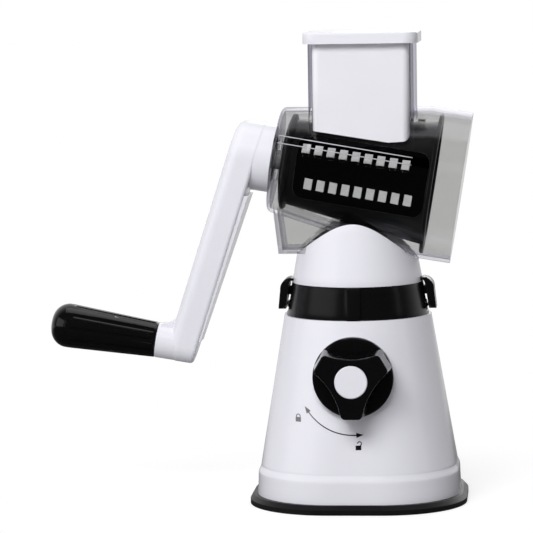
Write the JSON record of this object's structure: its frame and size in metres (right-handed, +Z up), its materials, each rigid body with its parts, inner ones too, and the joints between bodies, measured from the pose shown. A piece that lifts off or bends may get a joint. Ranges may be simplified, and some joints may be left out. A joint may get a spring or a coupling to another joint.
{
  "type": "rotary drum grater",
  "caption": "Hand-cranked drum grater: tilted clear barrel with feed chute and pusher, toothed conical drum, crank with fluted grip, hollow base with knob-worked suction foot.",
  "frame": {"origin": "on the worktop, under the middle of the suction foot", "axes": "+Z up, +X towards the open end of the barrel, -Y towards the knob"},
  "size_m": [0.285, 0.1569, 0.3114],
  "materials": {
    "white": "smooth white moulding",
    "black": "glossy black moulding",
    "clear": "smoky clear plastic moulding",
    "pad": "soft matt rubber",
    "blade": "pressed stainless sheet",
    "steel": "plain steel"
  },
  "bodies": {
    "root": {"suction_pad": "pad", "base_ring": "white", "base_housing": "white", "inner_frame": "white", "base_screws": "steel", "return_spring": "steel", "locking_collar": "black", "collar_screws": "steel", "latch_pins": "steel", "right_latch_spring": "steel", "left_latch_spring": "steel", "neck": "white", "neck_screws": "steel", "barrel_housing": "clear", "shaft_bush": "white", "thrust_washer": "pad"},
    "knob": {"knob": "black", "knob_cap": "white", "knob_screw": "steel", "cam_shaft": "black", "shaft_clip": "steel"},
    "lift": {"lift_rod": "white"},
    "right_latch": {"right_latch": "black"},
    "left_latch": {"left_latch": "black"},
    "crank": {"crank_arm": "white", "crank_cover": "white", "crank_shaft": "steel", "grip_axle": "steel"},
    "grip": {"grip": "black", "grip_end": "black"},
    "drum": {"drum_frame": "black", "drum_panel_1": "blade", "drum_panel_2": "blade", "drum_panel_3": "blade"},
    "pusher": {"pusher_body": "white", "pusher_cap": "white"}
  },
  "joints": [
    {"name": "crank_turn", "type": "hinge", "parent": "root", "child": "crank", "pos_m": [0, 0, 0.2183], "axis": [0.9866, 0, -0.1633], "continuous": true},
    {"name": "grip_turn", "type": "hinge", "parent": "crank", "child": "grip", "pos_m": [-0.02162, 0, 0.08768], "axis": [0.9866, 0, -0.1633], "continuous": true},
    {"name": "drum_slide", "type": "slide", "parent": "crank", "child": "drum", "axis": [0.9866, 0, -0.1633], "range_m": [0, 0.12]},
    {"name": "pusher_slide", "type": "slide", "parent": "root", "child": "pusher", "axis": [0, 0, 1], "range_m": [0, 0.075]},
    {"name": "knob_turn", "type": "hinge", "parent": "root", "child": "knob", "pos_m": [0, 0, 0.0888], "axis": [0, 1, 0], "range_deg": [0, 70]},
    {"name": "pad_lift", "type": "slide", "parent": "root", "child": "lift", "axis": [0, 0, 1], "range_m": [0, 0.00401], "stiffness_N_per_m": 5, "springref_m": 0.0204, "deforming": ["suction_pad", "return_spring"]},
    {"name": "right_latch_press", "type": "hinge", "parent": "root", "child": "right_latch", "pos_m": [0.0484, 0, 0.1385], "axis": [0, 1, 0], "range_deg": [0, 9.5], "stiffness_Nm_per_rad": 0.3, "springref_deg": -8.59, "deforming": ["right_latch_spring"]},
    {"name": "left_latch_press", "type": "hinge", "parent": "root", "child": "left_latch", "pos_m": [-0.0484, 0, 0.1385], "axis": [0, -1, 0], "range_deg": [0, 9.5], "stiffness_Nm_per_rad": 0.3, "springref_deg": -8.59, "deforming": ["left_latch_spring"]}
  ],
  "couplings": [
    {"joint": "pad_lift", "follows": "knob_turn", "m_per_rad": 0.003274}
  ]
}
